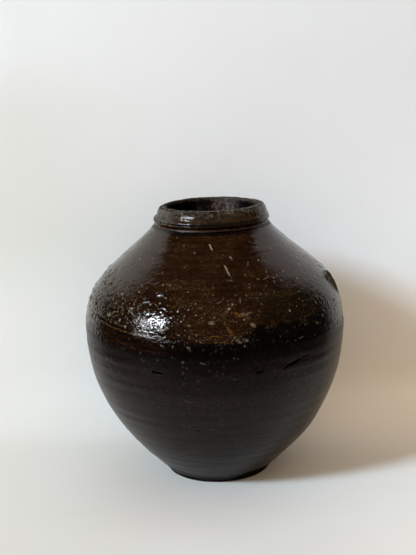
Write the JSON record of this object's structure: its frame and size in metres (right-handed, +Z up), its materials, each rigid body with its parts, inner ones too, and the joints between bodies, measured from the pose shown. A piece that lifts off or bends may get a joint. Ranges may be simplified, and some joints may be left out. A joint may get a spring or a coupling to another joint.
{
  "type": "storage jar",
  "caption": "Coil-built stoneware storage jar with a narrow foot, a wide round belly, a steep shoulder with a seam ledge, and a thick undercut collar round an open mouth.",
  "frame": {"origin": "centre of the foot, on the plane that the jar stands on", "axes": "+Z up along the jar's axis through the middle of the mouth, -Y towards the viewer of the picture, and the scar on the shoulder lies towards +X"},
  "size_m": [0.2708, 0.2708, 0.283],
  "materials": {
    "glazed_wall": "glossy dark brown ash glaze, amber where it is thin, with pale grit specks and fine throwing lines",
    "glazed_collar": "thin worn brown glaze, grey-brown and bare along the lip, amber on its lower edge",
    "bare_foot": "matt fired clay, dark brown at the heel and bare underneath"
  },
  "bodies": {
    "root": {"base_disc": "bare_foot", "corner_coil": "glazed_wall", "lower_strip_1": "glazed_wall", "lower_strip_2": "glazed_wall", "lower_strip_3": "glazed_wall", "lower_strip_4": "glazed_wall", "seam_strip": "glazed_wall", "shoulder_strip": "glazed_wall", "neck_strip": "glazed_wall", "rim_collar": "glazed_collar"}
  },
  "joints": []
}
